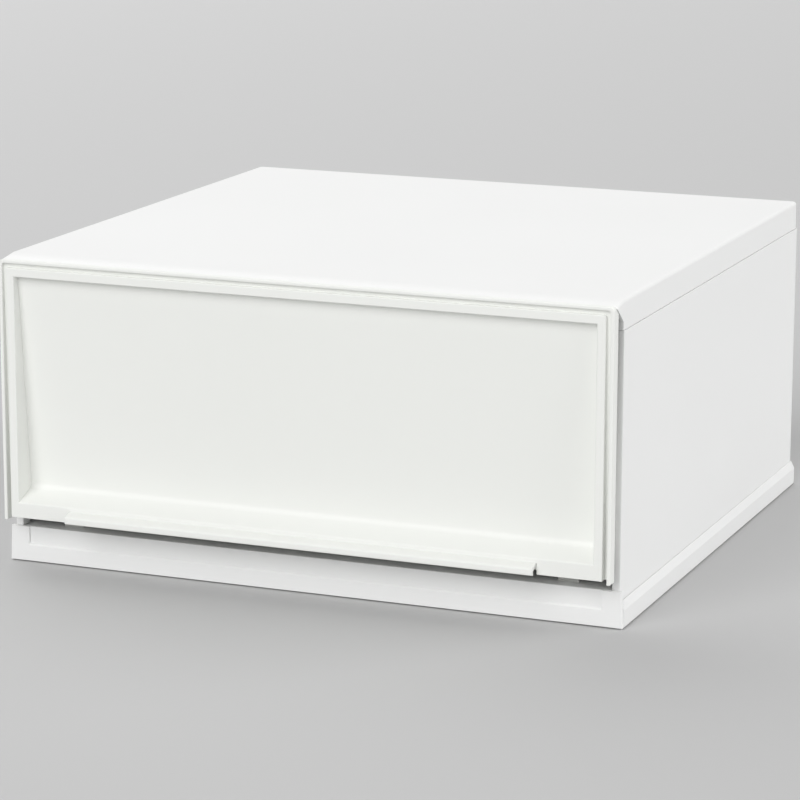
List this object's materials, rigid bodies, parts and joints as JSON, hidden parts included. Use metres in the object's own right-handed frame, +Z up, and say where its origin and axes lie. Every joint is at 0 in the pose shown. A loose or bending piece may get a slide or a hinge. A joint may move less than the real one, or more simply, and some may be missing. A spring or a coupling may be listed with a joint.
{
  "type": "drawer box",
  "caption": "Stackable white plastic drawer box: low wide case with a flat top and base band, and one full-width drawer with a framed, recessed front and a pull lip along its lower edge.",
  "frame": {"origin": "bottom centre of the closed box, on the plane it stands on", "axes": "+Z up, +X to the right seen from the front, the drawer opens towards -Y"},
  "size_m": [0.37, 0.3668, 0.18],
  "materials": {
    "case_white": "satin moulded",
    "drawer_white": "satin moulded",
    "tray_white": "satin moulded",
    "runner_plastic": "smooth, low friction",
    "clip_plastic": "smooth",
    "foot_rubber": "matte grey",
    "bumper_rubber": "matte grey",
    "screw_steel": "zinc plated"
  },
  "bodies": {
    "case": {"base_tray": "case_white", "front_rail": "case_white", "top_panel": "case_white", "back_panel": "case_white", "right_side_panel": "case_white", "left_side_panel": "case_white", "right_runner": "runner_plastic", "left_runner": "runner_plastic", "runner_screws": "screw_steel", "front_left_foot": "foot_rubber", "front_right_foot": "foot_rubber", "rear_left_foot": "foot_rubber", "rear_right_foot": "foot_rubber", "right_bumper": "bumper_rubber", "left_bumper": "bumper_rubber"},
    "drawer": {"drawer_front": "drawer_white", "pull_lip": "drawer_white", "drawer_tray": "tray_white", "right_stop_clip": "clip_plastic", "left_stop_clip": "clip_plastic", "front_screws": "screw_steel"}
  },
  "joints": [
    {"name": "drawer_slide", "type": "slide", "parent": "case", "child": "drawer", "axis": [0, -1, 0], "range_m": [0, 0.2767]}
  ]
}
